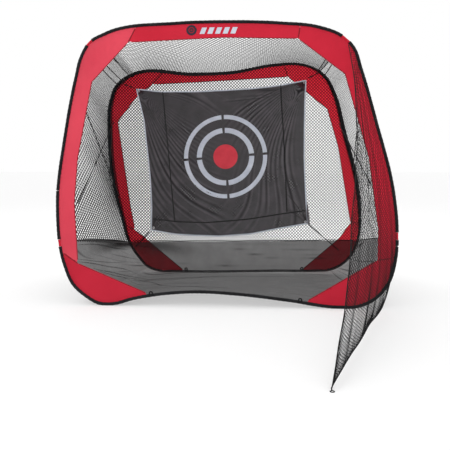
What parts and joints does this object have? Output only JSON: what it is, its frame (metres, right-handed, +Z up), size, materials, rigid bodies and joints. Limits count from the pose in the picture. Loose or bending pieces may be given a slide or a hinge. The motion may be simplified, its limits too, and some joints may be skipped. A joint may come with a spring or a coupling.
{
  "type": "golf practice net",
  "caption": "Pop-up golf practice net: two leaning spring hoops with cloth bands, a net tunnel, hanging target sheet, ball tray and side barrier.",
  "frame": {"origin": "on the ground, at the middle of the bounding box", "axes": "+Z up, +Y from the player towards the target, +X to the player's right"},
  "size_m": [2.2082, 2.5764, 1.8371],
  "materials": {
    "steel": "satin",
    "black_sleeve": "woven",
    "red_cloth": "satin",
    "net": "knotted net",
    "tray_cloth": "sheer",
    "black_binding": "webbing",
    "cord": "braided",
    "badge": "printed",
    "target_cloth": "matte",
    "white_print": "printed",
    "red_print": "printed"
  },
  "bodies": {
    "front_frame": {"front_hoop_wire": "steel", "front_hoop_ferrule": "steel", "front_sleeve_top": "black_sleeve", "front_sleeve_right": "black_sleeve", "front_sleeve_bottom": "black_sleeve", "front_sleeve_left": "black_sleeve", "front_sleeve_windows": "red_cloth", "front_band_top": "red_cloth", "front_band_left": "red_cloth", "front_band_right": "red_cloth", "front_band_foot_left": "red_cloth", "front_band_foot_right": "red_cloth", "front_badge": "badge", "tunnel_net_left": "net", "tunnel_net_top": "net", "tunnel_net_right": "net", "tray_floor": "tray_cloth", "tray_wall_left": "tray_cloth", "tray_wall_right": "tray_cloth", "tray_hem_left": "black_binding", "tray_hem_right": "black_binding", "link_cords_left": "cord", "link_cords_right": "cord", "brace_cords_left": "cord", "brace_cords_right": "cord"},
    "rear_frame": {"rear_hoop_wire": "steel", "rear_hoop_ferrule": "steel", "rear_sleeve_top": "black_sleeve", "rear_sleeve_right": "black_sleeve", "rear_sleeve_bottom": "black_sleeve", "rear_sleeve_left": "black_sleeve", "rear_band_top": "red_cloth", "rear_band_left": "red_cloth", "rear_band_right": "red_cloth", "rear_band_foot_left": "red_cloth", "rear_band_foot_right": "red_cloth", "back_net": "net", "tray_wall_back": "tray_cloth", "tray_hem_back": "black_binding", "target_ties": "cord"},
    "target": {"target_sheet": "target_cloth", "target_binding": "white_print", "target_rings": "white_print", "target_bull": "red_print", "target_eyelets": "steel"},
    "wing": {"wing_net": "net", "wing_edge_cord": "cord", "wing_tip_loop": "black_binding"},
    "stake_loop_front_left": {"stake_loop_front_left": "black_binding"},
    "stake_loop_front_right": {"stake_loop_front_right": "black_binding"},
    "stake_loop_rear_left": {"stake_loop_rear_left": "black_binding"},
    "stake_loop_rear_right": {"stake_loop_rear_right": "black_binding"}
  },
  "joints": [
    {"name": "collapse", "type": "slide", "parent": "front_frame", "child": "rear_frame", "axis": [0, -1, 0], "range_m": [0, 0.9], "deforming": ["tunnel_net_left", "tunnel_net_top", "tunnel_net_right", "tray_floor", "tray_wall_left", "tray_wall_right", "tray_hem_left", "tray_hem_right", "link_cords_left", "link_cords_right", "brace_cords_left", "brace_cords_right"]},
    {"name": "target_swing", "type": "hinge", "parent": "rear_frame", "child": "target", "pos_m": [-0.796, 1.195, 1.523], "axis": [0.999, 0.0044, 0.0442], "range_deg": [-18, 2.5], "stiffness_Nm_per_rad": 12, "springref_deg": -0.57, "deforming": ["target_ties"]},
    {"name": "wing_swing", "type": "hinge", "parent": "front_frame", "child": "wing", "pos_m": [1.03, 0.02, 0.14], "axis": [0, 0, 1], "range_deg": [-50, 45], "deforming": ["wing_net", "wing_edge_cord"]},
    {"name": "front_left_loop_fold", "type": "hinge", "parent": "front_frame", "child": "stake_loop_front_left", "pos_m": [-0.47028, 0.02065, 0.06543], "axis": [1, 0, 0], "range_deg": [0, 85]},
    {"name": "front_right_loop_fold", "type": "hinge", "parent": "front_frame", "child": "stake_loop_front_right", "pos_m": [0.48496, 0.01635, 0.03471], "axis": [1, 0, 0], "range_deg": [0, 85]},
    {"name": "rear_left_loop_fold", "type": "hinge", "parent": "rear_frame", "child": "stake_loop_rear_left", "pos_m": [-0.3814, 1.1261, 0.00748], "axis": [-1, 0, 0], "range_deg": [0, 85]},
    {"name": "rear_right_loop_fold", "type": "hinge", "parent": "rear_frame", "child": "stake_loop_rear_right", "pos_m": [0.58459, 1.12746, 0.02112], "axis": [-1, 0, 0], "range_deg": [0, 85]}
  ]
}
